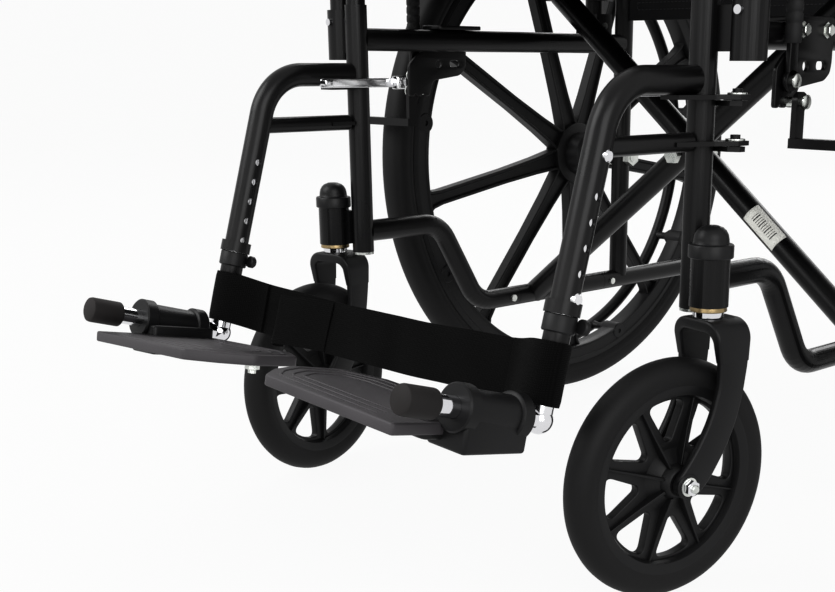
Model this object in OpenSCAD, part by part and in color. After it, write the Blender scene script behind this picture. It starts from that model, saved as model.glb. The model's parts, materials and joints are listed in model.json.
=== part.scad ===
/* [Frame] */
// Half the distance between the two side frames, centre to centre
half_w = 219; // [205:1:232]
// Distance from the front post to the rear post
wheel_base = 412; // [400:1:430]
// Height of the upper side rail
rail_up = 445; // [435:1:455]
// Height of the lower side rail
rail_low = 156; // [150:1:162]
// Height of the front stretch of the lower rail
rail_step = 252; // [246:1:256]
// Height of the seat rails
seat_z = 505; // [500:1:512]
// Height of the push handles
handle_z = 925; // [880:5:960]
// Outer diameter of the frame tubes
tube_d = 22.2; // [22:0.1:22.4]

/* [Rear wheels] */
// Outer radius of the rear tyre
wheel_r = 310; // [305:1:312]
// Distance from the side frame to the middle of the rear wheel
wheel_out = 84; // [82:1:88]
// Number of spokes in a rear wheel
spoke_n = 9; // [7:1:10]
// Radius of the handrim tube
handrim_r = 8; // [7:0.5:9]

/* [Casters] */
// Outer radius of the caster tyre
caster_r = 100; // [98:1:101]
// Distance of the caster stem outboard of the front post
stem_out = 28; // [27:0.5:31]
// How far the caster wheel sits from its stem
trail = 37; // [34:1:40]
// Number of spokes in a caster wheel
caster_spokes = 8; // [6:1:9]

/* [Footrests] */
// Reach of a footplate from its pivot tube
plate_reach = 194; // [180:1:197]
// Spacing of the height holes
hole_pitch = 19; // [18:0.5:20]
// Width of the heel strap
strap_w = 54; // [48:1:55]

/* [Seat and arms] */
// Height of the arm pad's top
arm_top = 738; // [725:1:750]
// Width of the arm pad
pad_w = 37; // [36:1:44]

/* [Hidden] */
$fn = 40;
tube_r = tube_d / 2;
post_bottom = 231;
post_top = 478;
post_bore = 9.6;
leg_r = 9.53;
rear_y = wheel_base;
rail_end = rear_y + 142;
stem_y = -16;
stem_x = half_w + stem_out;
caster_toe = 11;
button_z = 462;
saddle_r = 14.5;
back_low = 472;
back_high = 876;
arm_x = half_w + 36;
rear_arm_y = rear_y - 15;
arm_pivot_z = 466;
wheel_x = half_w + wheel_out;
low_bend = [105, 163];
sleeve_y = [225, 375];
arm_a_y = 258;
arm_b_y = 288;
cross_z = (rail_low + seat_z) / 2;
cross_angle = atan((seat_z - rail_low) / (2 * half_w));
cross_len = sqrt(pow(2 * half_w, 2) + pow(seat_z - rail_low, 2));
hanger_top = [-107, 411];
hanger_end = [-157, 246];
foot_corner = [-180, 170];
slope = atan2(hanger_top[1] - hanger_end[1], hanger_top[0] - hanger_end[0]);
foot_tilt = 90 - slope;
plate_tilt = 11;
plate_rise = 3;
pivot_r = 8;
cap_end = 138;
cap_r = 11.2;
front_tip = foot_corner[0] - cap_end * cos(foot_tilt) - cap_r * sin(foot_tilt);
shift_y = -(front_tip + rear_y + wheel_r) / 2;
swing_x = half_w + 24;
swing_y = 14;
brake_y = 92;
brake_z = 409;
shoe_z = 397;

// Point on the hanger's slope, a given way up from its lower end.
function on_slope(d) = [hanger_end[0] + d * cos(slope), hanger_end[1] + d * sin(slope)];

// Point on the pivot tube, a given way forward of its rear corner.
function on_pivot(d) = [foot_corner[0] - d * cos(foot_tilt), foot_corner[1] + d * sin(foot_tilt)];

// The left side is drawn at positive x, and the right side is its mirror image.
module on_side(s) {
    mirror([s > 0 ? 0 : 1, 0, 0]) placed() children();
}

// Shapes are drawn with the front posts at y = 0, and this centres the chair on its box.
module placed() {
    translate([0, shift_y, 0]) children();
}

// Carries a shape drawn in x and y into the upright y and z plane at a given x.
module upright(x) {
    translate([x, 0, 0]) rotate([90, 0, 90]) children();
}

// Round bar between two points.
module bar(a, b, r) {
    d = b - a;
    translate(a)
        rotate([0, acos(d[2] / norm(d)), atan2(d[1], d[0])])
        cylinder(h = norm(d), r = r);
}

// Unit vector from one point to another.
function dir(a, b) = (b - a) / norm(b - a);

// Signed turn of a path at a corner.
function turn(a, b, c) =
    let (p = dir(a, b), q = dir(b, c))
    atan2(p[0] * q[1] - p[1] * q[0], p * q);

// Length that a rounded corner takes from each straight beside it.
function trim(pts, i, r) =
    (i <= 0 || i >= len(pts) - 1) ? 0 : r * tan(abs(turn(pts[i - 1], pts[i], pts[i + 1])) / 2);

// Bent tube along flat points, with the same bend radius at each corner.
module bent_tube(pts, bend_r, r) {
    for (i = [0 : len(pts) - 2]) {
        d = dir(pts[i], pts[i + 1]);
        a = pts[i] + d * trim(pts, i, bend_r);
        b = pts[i + 1] - d * trim(pts, i + 1, bend_r);
        bar([a[0], a[1], 0], [b[0], b[1], 0], r);
    }
    for (i = [1 : 1 : len(pts) - 2]) {
        t = turn(pts[i - 1], pts[i], pts[i + 1]);
        d = dir(pts[i - 1], pts[i]);
        side = t > 0 ? 1 : -1;
        start = pts[i] - d * trim(pts, i, bend_r);
        c = start + side * bend_r * [-d[1], d[0]];
        translate([c[0], c[1], 0])
            rotate([0, 0, atan2(start[1] - c[1], start[0] - c[0]) - (t < 0 ? -t : 0)])
            rotate_extrude(angle = abs(t)) translate([bend_r, 0]) circle(r = r);
    }
}

// Flat ring or washer about the x axis.
module x_ring(x0, x1, y, z, r_out, r_in) {
    translate([x0, y, z]) rotate([0, 90, 0]) difference() {
        cylinder(h = x1 - x0, r = r_out);
        if (r_in > 0) translate([0, 0, -1]) cylinder(h = x1 - x0 + 2, r = r_in);
    }
}

module box(lo, hi) {
    translate(lo) cube(hi - lo);
}

// ---- Side frame ----
module frame_tubes() {
    upright(half_w) {
        bent_tube([[6, rail_up], [rear_y - 6, rail_up]], 40, tube_r);
        bent_tube([[6, rail_step], [low_bend[0], rail_step], [low_bend[1], rail_low],
                   [sleeve_y[0] - 0.5, rail_low]], 38, tube_r);
        bent_tube([[sleeve_y[1] + 0.5, rail_low], [rail_end, rail_low]], 38, tube_r);
        bent_tube([[sleeve_y[0] - 10, rail_low], [sleeve_y[1] + 10, rail_low]], 38, 7.5);
        bent_tube([[rear_y, rail_low + 4], [rear_y, handle_z], [rear_y + 138, handle_z]], 45, tube_r);
    }
    bar([half_w, 0, post_bottom], [half_w, 0, post_top], tube_r);
}

// Housing that holds the caster stem, with the plate that welds it to the post.
module stem_housing() {
    translate([stem_x, stem_y, 238]) cylinder(h = 44, r = 15.8);
    translate([stem_x, stem_y, 277]) cylinder(h = 5, r = 17.5);
    box([half_w + 4, stem_y + 2, 240], [stem_x, stem_y + 10, 274]);
}

// Sockets that take the armrest, front and rear.
module arm_sockets() {
    bar([arm_x, 9, 425], [arm_x, 9, 474], 14.3);
    box([half_w + 6, 2, 432], [arm_x - 8, 10, 466]);
    box([half_w + 6, rear_arm_y - 14, 440], [arm_x + 17, rear_arm_y + 14, 446]);
    for (x = [arm_x - 17, arm_x + 13]) box([x, rear_arm_y - 14, 440], [x + 4, rear_arm_y + 14, 480]);
}

// Lugs with the two upright pins that the hanger swings on.
module hanger_lugs() {
    for (z = [356.5, 391.5]) translate([0, 0, z]) {
        linear_extrude(height = 4) polygon([[half_w + 3, 8], [swing_x - 2, 7], [swing_x + 7, 11], [swing_x + 7, 18],
                 [swing_x, 21], [half_w, 9]]);
        translate([swing_x, swing_y, 0]) cylinder(h = 13, r = 4);
    }
}

module side_frame(s) {
    color("black") on_side(s) difference() {
        union() {
            frame_tubes();
            stem_housing();
            arm_sockets();
            hanger_lugs();
        }
        translate([half_w, 0, post_bottom + 4]) cylinder(h = 400, r = post_bore);
        translate([arm_x, 9, 430]) cylinder(h = 60, r = 12.3);
        translate([stem_x, stem_y, 200]) cylinder(h = 120, r = 6.4);
        x_bore(rear_y, wheel_r, 6.4);
        button_bore();
        translate([arm_x - 30, rear_arm_y, arm_pivot_z]) rotate([0, 90, 0]) cylinder(h = 60, r = 4.06);
    }
}

// Hole for the arm button, through the socket and the front wall of the arm tube.
module button_bore() {
    translate([arm_x, -10, button_z]) rotate([-90, 0, 0]) cylinder(h = 14, r = 3.6);
}

// Bore for the rear axle through the rear post.
module x_bore(y, z, r) {
    translate([half_w - 20, y, z]) rotate([0, 90, 0]) cylinder(h = 40, r = r);
}

// Screws of the lower rail, tube plugs and the washers of the stem.
module frame_hardware(s) {
    color("silver") on_side(s) {
        for (y = [212, 388]) x_ring(half_w - tube_r - 2.4, half_w - tube_r + 0.4, y, rail_low, 4, 0);
        translate([half_w, rail_end, rail_low]) rotate([-90, 0, 0]) cylinder(h = 3, r = 10.8);
        translate([half_w, 0, post_bottom - 2.5]) cylinder(h = 2.5, r = 10.8);
        translate([stem_x, stem_y, 234.5]) difference() {
            cylinder(h = 3.5, r = 13.5);
            translate([0, 0, -1]) cylinder(h = 6, r = 6.4);
        }
        translate([arm_x - 19, rear_arm_y, arm_pivot_z]) rotate([0, 90, 0]) cylinder(h = 38, r = 4);
    }
}

module push_grip(s) {
    color("dimgray") on_side(s) translate([half_w, rear_y + 50, handle_z]) rotate([-90, 0, 0])
        difference() {
            union() {
                cylinder(h = 95, r = 15.5);
                cylinder(h = 5, r = 16.8);
                translate([0, 0, 95]) sphere(r = 15.5);
            }
            translate([0, 0, -1]) cylinder(h = 90, r = tube_r);
        }
}

// ---- Casters ----
module stem_cap(s) {
    color("black") on_side(s) translate([stem_x, stem_y, 282]) {
        cylinder(h = 8, r = 14.2);
        translate([0, 0, 8]) intersection() {
            sphere(r = 14.2);
            translate([-20, -20, 0]) cube(40);
        }
    }
}

// Carries a shape drawn about the stem to its place, turned a little inward.
module toed() {
    translate([stem_x, stem_y, 0]) rotate([0, 0, -caster_toe]) children();
}

// Fork in its own frame: stem on the z axis, wheel ahead of it.
module fork_arm(x) {
    translate([x, 0, 0]) rotate([90, 0, 90]) linear_extrude(height = 5) union() {
        polygon([[-30, 222], [20, 222], [16, 196], [-trail + 12, caster_r - 2],
                 [-trail - 12, caster_r - 2], [-36, 190]]);
        translate([-trail, caster_r]) circle(r = 13);
    }
}

module caster_fork(s) {
    color("black") on_side(s) toed() difference() {
        union() {
            fork_arm(-25);
            fork_arm(20);
            box([-25, -30, 214], [25, 20, 226]);
            translate([0, 0, 200]) cylinder(h = 28, r = 15);
            translate([0, 0, 226]) cylinder(h = 8, r = 11);
            translate([0, 0, 226]) cylinder(h = 54, r = 6.33);
        }
        translate([-40, -trail, caster_r]) rotate([0, 90, 0]) cylinder(h = 80, r = 5.05);
        translate([0, -trail, caster_r]) rotate([0, 90, 0])
            cylinder(h = 34, r = caster_r + 6, center = true);
    }
}

module caster_wheel(s) {
    hub_r = 17;
    rim = [68, 78];
    color("black") on_side(s) toed() translate([0, -trail, caster_r]) rotate([0, 90, 0]) difference() {
        union() {
            cylinder(h = 36, r = hub_r, center = true);
            difference() {
                cylinder(h = 24, r = rim[1], center = true);
                cylinder(h = 30, r = rim[0], center = true);
            }
            for (i = [0 : caster_spokes - 1]) rotate([0, 0, 360 / caster_spokes * i])
                translate([hub_r - 3, -5, -8]) cube([rim[0] - hub_r + 6, 10, 16]);
        }
        cylinder(h = 60, r = 5.06, center = true);
    }
}

module caster_tyre(s) {
    color("dimgray") on_side(s) toed() translate([0, -trail, caster_r]) rotate([0, 90, 0])
        rotate_extrude($fn = 96) difference() {
            union() {
                translate([caster_r - 14, 0]) circle(r = 14);
                translate([78, -13]) square([8, 26]);
            }
            square([78, 60], center = false);
            translate([0, -60]) square([78, 60]);
        }
}

module caster_axle(s) {
    color("silver") on_side(s) toed() {
        bar([-26, -trail, caster_r], [26, -trail, caster_r], 5);
        for (x = [-31, 25.2]) translate([x, -trail, caster_r]) rotate([0, 90, 0])
            cylinder(h = 5.8, r = 8.5, $fn = 6);
    }
}

// ---- Rear wheels ----
rim_in = 256;
rim_out = 281;
push_ring_r = 262;
push_ring_x = 40;

module wheel_place(s) {
    on_side(s) translate([wheel_x, rear_y, wheel_r]) rotate([0, 90, 0]) children();
}

module rear_wheel(s) {
    color("black") wheel_place(s) difference() {
        union() {
            translate([0, 0, -40]) cylinder(h = 62, r = 26);
            translate([0, 0, -12]) cylinder(h = 24, r = 38);
            rotate_extrude($fn = 120) translate([rim_in, -12]) square([rim_out - rim_in, 24]);
            for (i = [0 : spoke_n - 1]) rotate([0, 0, 360 / spoke_n * i]) {
                translate([0, 0, -7]) linear_extrude(height = 14)
                    polygon([[30, -13], [120, -9], [rim_in + 4, -9], [rim_in + 4, 9], [120, 9], [30, 13]]);
                rotate([0, 0, 180 / spoke_n]) translate([rim_in + 8, 0, 0]) cylinder(h = 16, r = 11);
            }
        }
        translate([0, 0, -60]) cylinder(h = 120, r = 6.4);
    }
}

module rear_tyre(s) {
    color("dimgray") wheel_place(s) rotate_extrude($fn = 120) difference() {
        union() {
            translate([wheel_r - 17, 0]) circle(r = 17);
            translate([rim_out - 2, -14]) square([12, 28]);
        }
        translate([0, -60]) square([rim_out, 120]);
    }
}

module handrim(s) {
    color("black") wheel_place(s) {
        translate([0, 0, push_ring_x]) rotate_extrude($fn = 120) translate([push_ring_r, 0]) circle(r = handrim_r);
        for (i = [0 : spoke_n - 1]) rotate([0, 0, 360 / spoke_n * (i + 0.5)])
            translate([push_ring_r, 0, 16]) cylinder(h = push_ring_x - 18, r = 5);
    }
}

module rear_axle(s) {
    color("silver") on_side(s) {
        bar([half_w - 22, rear_y, wheel_r], [wheel_x + 24, rear_y, wheel_r], 6.33);
        for (x = [half_w - 21, wheel_x + 22.3]) translate([x, rear_y, wheel_r]) rotate([0, 90, 0])
            cylinder(h = 9, r = 11, $fn = 6);
        x_ring(half_w + tube_r + 0.2, wheel_x - 40.2, rear_y, wheel_r, 11, 0);
    }
}

// ---- Footrests ----
function at_x(x, p) = [x, p[0], p[1]];

module hanger(s) {
    straight_end = [-11.6, hanger_top[1]];
    color("black") on_side(s) difference() {
        union() {
            upright(half_w) bent_tube([straight_end, hanger_top, hanger_end], 50, tube_r);
            bar(at_x(half_w, hanger_end), at_x(half_w, on_slope(10)), 14);
            bar([half_w, -118, 364], [half_w, -15, 364], 7.5);
            for (z = [361.5, 396.5]) translate([0, 0, z]) linear_extrude(height = 3.5) difference() {
                polygon([[half_w - 9, -40], [half_w + 9, -40], [half_w + 22, -10], [swing_x + 9, 6],
                         [swing_x + 9, 20], [swing_x - 5, 22], [half_w + 12.2, 8], [half_w + 12.2, -12.2],
                         [half_w - 9, -12.2]]);
                translate([swing_x, swing_y]) circle(r = 4.06);
            }
        }
        bar(at_x(half_w, on_slope(-1)), at_x(half_w, on_slope(134)), 9.6);
        for (i = [0 : 4]) let (p = on_slope(12 + hole_pitch * i))
            translate(at_x(half_w - 20, p)) rotate([0, 90, 0]) cylinder(h = 40, r = 3.2);
    }
}

module foot_tube(s) {
    color("silver") on_side(s) {
        bar(at_x(half_w, foot_corner), at_x(half_w, on_slope(130)), 9.53);
        bar(at_x(half_w, foot_corner), at_x(half_w, on_pivot(128)), pivot_r);
        translate(at_x(half_w, foot_corner)) sphere(r = 11);
    }
}

// Plate and casting, in a frame on the pivot tube that tilts with the plate.
module plate_shape() {
    translate([0, 0, -19]) linear_extrude(height = 9) polygon([
        [-9, 34], [-150, 34], [6 - plate_reach, 14], [-plate_reach, -30],
        [14 - plate_reach, -58], [34 - plate_reach, -79], [-9, -79]]);
    box([-22, -30, -28], [14, 30, 0]);
}

module footplate(s) {
    color("black") on_side(s) difference() {
        union() {
            bar(at_x(half_w, on_pivot(22)), at_x(half_w, on_pivot(88)), 15);
            for (d = [22, 76]) bar(at_x(half_w, on_pivot(d)), at_x(half_w, on_pivot(d + 12)), 18);
            translate(at_x(half_w, on_pivot(54))) rotate([-plate_tilt, plate_rise, 0]) plate_shape();
        }
        bar(at_x(half_w, on_pivot(-20)), at_x(half_w, on_pivot(160)), pivot_r + 0.07);
    }
}

module foot_tube_cap(s) {
    color("dimgray") on_side(s) difference() {
        bar(at_x(half_w, on_pivot(108)), at_x(half_w, on_pivot(cap_end)), cap_r);
        bar(at_x(half_w, on_pivot(107)), at_x(half_w, on_pivot(128)), pivot_r);
    }
}

// Spring lever that frees the hanger from the post.
module latch_lever(s) {
    color("silver") on_side(s) {
        box([half_w - 22, -62, 398], [half_w - 18, 34, 408]);
        box([half_w - 30, 28, 396], [half_w - 18, 40, 410]);
        box([half_w - 30, -62, 401], [half_w - 21, -52, 406]);
        translate([half_w - 20, -52, 396]) cylinder(h = 14, r = 3);
    }
}

// Small clamp lever under the hanger's collar.
module height_clamp(s) {
    color("black") on_side(s) difference() {
        bar(at_x(half_w, on_slope(-12)), at_x(half_w, on_slope(-1)), 13);
        bar(at_x(half_w, on_slope(-14)), at_x(half_w, on_slope(2)), 9.6);
    }
}

// ---- Wheel locks ----
module brake_bracket(s) {
    color("black") on_side(s) difference() {
        union() {
            box([half_w + tube_r + 0.2, 100, rail_up - 34], [half_w + tube_r + 4.2, 160, rail_up + 16]);
            box([half_w - tube_r - 3.2, 100, rail_up + tube_r + 0.2],
                [half_w + tube_r + 4.2, 160, rail_up + tube_r + 4.2]);
            box([half_w + tube_r + 0.2, 78, 388], [half_w + tube_r + 4.2, 108, rail_up - 14]);
            for (p = [[brake_y, brake_z + 0.5], [brake_y + 4, shoe_z - 4]])
                bar([half_w + 12, p[0], p[1]], [half_w + 34, p[0], p[1]], 3.95);
        }
        translate([half_w + 5, 118, rail_up - 24]) rotate([0, 90, 0]) cylinder(h = 20, r = 4);
    }
}

module brake_lever(s) {
    lever_x = half_w + 17.3;
    grip_r = 7.2;
    color("black") on_side(s) difference() {
        union() {
            translate([lever_x, brake_y, brake_z + 0.5]) rotate([0, 90, 0]) cylinder(h = 5, r = 9);
            box([lever_x, brake_y - 6, brake_z + 4], [lever_x + 5, brake_y + 6, brake_z + 36]);
            bar([lever_x + 2.5, brake_y, brake_z + 30], [lever_x + 2.5, brake_y, brake_z + 125], grip_r);
            translate([lever_x + 2.5, brake_y, brake_z + 125]) sphere(r = grip_r);
        }
        translate([half_w, brake_y, brake_z + 0.5]) rotate([0, 90, 0]) cylinder(h = 40, r = 4.02);
    }
}

module brake_shoe(s) {
    shoe_x = half_w + 25;
    color("silver") on_side(s) difference() {
        union() {
            translate([shoe_x, brake_y + 4, shoe_z - 4]) rotate([0, 90, 0]) cylinder(h = 5, r = 8);
            box([shoe_x, brake_y - 4, 360], [shoe_x + 5, brake_y + 8, shoe_z - 6]);
            box([shoe_x, brake_y - 6, 356], [wheel_x + 18, brake_y + 4, 364]);
        }
        translate([half_w, brake_y + 4, shoe_z - 4]) rotate([0, 90, 0]) cylinder(h = 40, r = 4.02);
    }
}

// ---- Arms ----
pad_z = arm_top - 30;

module armrest(s) {
    color("black") on_side(s) difference() {
        union() {
            upright(arm_x) bent_tube([[9, 444], [9, pad_z - 14], [rear_arm_y, pad_z - 14],
                                      [rear_arm_y, 455]], 48, 11);
            x_ring(arm_x - 12.4, arm_x + 12.4, rear_arm_y, arm_pivot_z, 13, 0);
            for (y = [110, 290]) box([arm_x - 9, y - 10, pad_z - 8], [arm_x + 9, y + 10, pad_z]);
            upright(arm_x) bent_tube([[12, 512], [rear_arm_y - 3, 512]], 40, 8);
        }
        translate([arm_x - 40, rear_arm_y, arm_pivot_z]) rotate([0, 90, 0]) cylinder(h = 80, r = 4.06);
        button_bore();
    }
}

module arm_pad(s) {
    color("dimgray") on_side(s) translate([arm_x, 0, pad_z]) linear_extrude(height = 30) hull() {
        for (y = [30, 340]) translate([0, y]) circle(r = pad_w / 2, $fn = 32);
    }
}

module side_panel(s) {
    color("black") on_side(s) upright(arm_x - 1.5) linear_extrude(height = 3)
        polygon([[21, 521], [rear_arm_y - 12, 521], [rear_arm_y - 12, 640], [rear_arm_y - 40, 682],
                 [50, 682], [21, 640]]);
}

module arm_button(s) {
    color("silver") on_side(s) translate([arm_x, -8.5, button_z]) rotate([-90, 0, 0])
        cylinder(h = 6.1, r = 3.5);
}

// ---- Seat and back ----
module seat_rail(s) {
    color("silver") on_side(s) {
        upright(half_w) bent_tube([[-36, seat_z], [rear_y - 24, seat_z]], 40, tube_r);
        bar([half_w, 0, 241], [half_w, 0, seat_z], leg_r);
    }
}

// Cross arm: a sleeve on the lower rail, the bar, and a saddle on the seat rail.
module cross_arm(y) {
    low = [-half_w, y, rail_low];
    high = [half_w, y, seat_z];
    along = (high - low) / norm(high - low);
    difference() {
        union() {
            bar(low, high - along * 12, 12.7);
            bar([-half_w, sleeve_y[0], rail_low], [-half_w, sleeve_y[1], rail_low], tube_r);
            bar(high - along * 26, high, 9);
            bar([half_w, y - 16, seat_z], [half_w, y + 16, seat_z], saddle_r);
        }
        bar([-half_w, 0, rail_low], [-half_w, 500, rail_low], 7.58);
        bar([half_w, 0, seat_z], [half_w, 500, seat_z], tube_r + 0.08);
        bar([0, 100, cross_z], [0, 400, cross_z], 5.06);
    }
}

module cross_arm_a() {
    color("black") placed() cross_arm(arm_a_y);
}

module cross_arm_b() {
    color("black") placed() mirror([1, 0, 0]) cross_arm(arm_b_y);
}

module cross_bolt() {
    color("silver") placed() {
        bar([0, arm_a_y - 17, cross_z], [0, arm_b_y + 17, cross_z], 5);
        for (y = [arm_a_y - 20, arm_b_y + 12.9]) translate([0, y, cross_z]) rotate([-90, 0, 0])
            cylinder(h = 7, r = 9, $fn = 6);
    }
}

module seat_sling() {
    reach = half_w - 15.1;
    color("dimgray") placed() translate([-reach, -24, seat_z + 3]) cube([2 * reach, rear_y - 30, 6]);
}

module back_sling() {
    reach = half_w - tube_r - 0.4;
    color("dimgray") placed() translate([-reach, rear_y - 4, back_low])
        cube([2 * reach, 8, back_high - back_low]);
}

// Half of the heel strap: a flat band that wraps the tube of its own hanger.
module heel_strap(s) {
    color("dimgray") on_side(s) difference() {
        union() {
            translate(at_x(0, on_slope(-40.5))) rotate([slope - 90, 0, 0])
                translate([0.2, 9.9, -strap_w / 2]) cube([half_w - 0.2, 2.6, strap_w]);
            bar(at_x(half_w, on_slope(-40.5 - strap_w / 2)), at_x(half_w, on_slope(-40.5 + strap_w / 2)), 12.5);
        }
        bar(at_x(half_w, on_slope(-90)), at_x(half_w, on_slope(10)), 9.9);
    }
}

side_frame(-1);  // right_side_frame
side_frame(1);  // left_side_frame
frame_hardware(-1);  // right_frame_hardware
frame_hardware(1);  // left_frame_hardware
push_grip(-1);  // right_push_grip
push_grip(1);  // left_push_grip
stem_cap(-1);  // right_stem_cap
stem_cap(1);  // left_stem_cap
caster_fork(-1);  // right_caster_fork
caster_fork(1);  // left_caster_fork
caster_wheel(-1);  // right_caster_wheel
caster_wheel(1);  // left_caster_wheel
caster_tyre(-1);  // right_caster_tyre
caster_tyre(1);  // left_caster_tyre
caster_axle(-1);  // right_caster_axle
caster_axle(1);  // left_caster_axle
rear_wheel(-1);  // right_rear_wheel
rear_wheel(1);  // left_rear_wheel
rear_tyre(-1);  // right_rear_tyre
rear_tyre(1);  // left_rear_tyre
handrim(-1);  // right_handrim
handrim(1);  // left_handrim
rear_axle(-1);  // right_rear_axle
rear_axle(1);  // left_rear_axle
hanger(-1);  // right_hanger
hanger(1);  // left_hanger
foot_tube(-1);  // right_foot_tube
foot_tube(1);  // left_foot_tube
footplate(-1);  // right_footplate
footplate(1);  // left_footplate
foot_tube_cap(-1);  // right_foot_tube_cap
foot_tube_cap(1);  // left_foot_tube_cap
latch_lever(-1);  // right_latch_lever
latch_lever(1);  // left_latch_lever
height_clamp(-1);  // right_height_clamp
height_clamp(1);  // left_height_clamp
brake_bracket(-1);  // right_brake_bracket
brake_bracket(1);  // left_brake_bracket
brake_lever(-1);  // right_brake_lever
brake_lever(1);  // left_brake_lever
brake_shoe(-1);  // right_brake_shoe
brake_shoe(1);  // left_brake_shoe
armrest(-1);  // right_armrest
armrest(1);  // left_armrest
arm_pad(-1);  // right_arm_pad
arm_pad(1);  // left_arm_pad
side_panel(-1);  // right_side_panel
side_panel(1);  // left_side_panel
arm_button(-1);  // right_arm_button
arm_button(1);  // left_arm_button
seat_rail(-1);  // right_seat_rail
seat_rail(1);  // left_seat_rail
heel_strap(-1);  // right_heel_strap
heel_strap(1);  // left_heel_strap
cross_arm_a();
cross_arm_b();
cross_bolt();
seat_sling();
back_sling();
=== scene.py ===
import json
import math
import bpy
import bmesh
from mathutils import Matrix, Vector


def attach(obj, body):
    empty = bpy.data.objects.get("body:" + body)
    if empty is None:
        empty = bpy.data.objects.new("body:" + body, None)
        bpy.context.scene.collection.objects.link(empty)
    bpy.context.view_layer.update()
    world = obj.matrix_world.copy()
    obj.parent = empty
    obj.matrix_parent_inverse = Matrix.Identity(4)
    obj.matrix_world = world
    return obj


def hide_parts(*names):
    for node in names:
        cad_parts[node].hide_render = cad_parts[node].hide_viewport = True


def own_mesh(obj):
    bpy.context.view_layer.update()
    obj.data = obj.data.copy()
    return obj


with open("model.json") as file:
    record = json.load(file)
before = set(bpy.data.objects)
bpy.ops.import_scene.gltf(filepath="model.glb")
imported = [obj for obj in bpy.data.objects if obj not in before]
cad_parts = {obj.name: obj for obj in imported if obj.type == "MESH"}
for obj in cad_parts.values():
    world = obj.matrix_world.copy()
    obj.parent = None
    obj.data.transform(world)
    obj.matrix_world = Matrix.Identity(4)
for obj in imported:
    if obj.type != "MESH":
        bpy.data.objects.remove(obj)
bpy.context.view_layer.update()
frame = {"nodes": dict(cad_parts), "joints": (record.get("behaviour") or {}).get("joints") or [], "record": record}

sides = ("right", "left")
joints = {j["name"]: j for j in frame["joints"]}


def at(joint):
    return Vector(joints[joint]["pos_m"])


# every finish on the chair is a small node graph
def newMaterial(name, color, roughness, metallic=0.0, **sockets):
    material = bpy.data.materials.new(name)
    material.use_nodes = True
    shader = material.node_tree.nodes["Principled BSDF"]
    shader.inputs["Base Color"].default_value = (*color, 1)
    shader.inputs["Roughness"].default_value = roughness
    shader.inputs["Metallic"].default_value = metallic
    for socket, value in sockets.items():
        shader.inputs[socket.replace("_", " ")].default_value = value
    return material


def node(material, kind, **values):
    made = material.node_tree.nodes.new(kind)
    for key, value in values.items():
        if key in made.inputs:
            made.inputs[key].default_value = value
        else:
            setattr(made, key, value)
    return made


def wire(material, out, into):
    material.node_tree.links.new(out, into)


def objectPoint(material):
    return node(material, "ShaderNodeTexCoord").outputs["Object"]


def ramp(material, value, low, high, at0=0.0, at1=1.0):
    mapped = node(material, "ShaderNodeMapRange")
    for key, number in (("From Min", at0), ("From Max", at1), ("To Min", low), ("To Max", high)):
        mapped.inputs[key].default_value = number
    wire(material, value, mapped.inputs["Value"])
    return mapped.outputs["Result"]


def tint(material, value, dark, light):
    mix = node(material, "ShaderNodeMix", data_type="RGBA")
    mix.inputs[6].default_value = (*dark, 1)
    mix.inputs[7].default_value = (*light, 1)
    wire(material, value, mix.inputs[0])
    wire(material, mix.outputs[2], material.node_tree.nodes["Principled BSDF"].inputs["Base Color"])


def addBump(material, height, strength, distance):
    bump = node(material, "ShaderNodeBump", Strength=strength, Distance=distance)
    wire(material, height, bump.inputs["Height"])
    wire(material, bump.outputs["Normal"], material.node_tree.nodes["Principled BSDF"].inputs["Normal"])


# fine grain in the bump, broad patches in colour and gloss
def grained(name, dark, light, rough, grain, depth, metallic=0.0, patch=9.0, **sockets):
    material = newMaterial(name, dark, rough[0], metallic, **sockets)
    shader = material.node_tree.nodes["Principled BSDF"]
    point = objectPoint(material)
    fine = node(material, "ShaderNodeTexNoise", Scale=grain, Detail=3.0, Roughness=0.6)
    broad = node(material, "ShaderNodeTexNoise", Scale=patch, Detail=2.0)
    wire(material, point, fine.inputs["Vector"])
    wire(material, point, broad.inputs["Vector"])
    tint(material, ramp(material, broad.outputs["Fac"], 0, 1, 0.35, 0.65), dark, light)
    wire(material, ramp(material, broad.outputs["Fac"], rough[0], rough[1], 0.3, 0.7),
         shader.inputs["Roughness"])
    addBump(material, fine.outputs["Fac"], 0.35, depth)
    return material


# two crossed waves make the threads, and noise their fuzz
def woven(name, dark, light, threads, depth, **sockets):
    material = newMaterial(name, dark, 0.85, **sockets)
    point = objectPoint(material)
    bands = []
    for direction in ("X", "Z"):
        wave = node(material, "ShaderNodeTexWave", Scale=threads, Distortion=0.6, bands_direction=direction)
        wave.inputs["Detail Scale"].default_value = 3.0
        wire(material, point, wave.inputs["Vector"])
        bands.append(wave.outputs["Fac"])
    weave = node(material, "ShaderNodeMath", operation="MULTIPLY")
    wire(material, bands[0], weave.inputs[0])
    wire(material, bands[1], weave.inputs[1])
    fuzz = node(material, "ShaderNodeTexNoise", Scale=1400.0, Detail=2.0)
    wire(material, point, fuzz.inputs["Vector"])
    total = node(material, "ShaderNodeMath", operation="ADD")
    wire(material, weave.outputs[0], total.inputs[0])
    wire(material, fuzz.outputs["Fac"], total.inputs[1])
    tint(material, ramp(material, total.outputs[0], 0, 1, 0.35, 1.3), dark, light)
    addBump(material, total.outputs[0], 0.6, depth)
    return material


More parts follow.
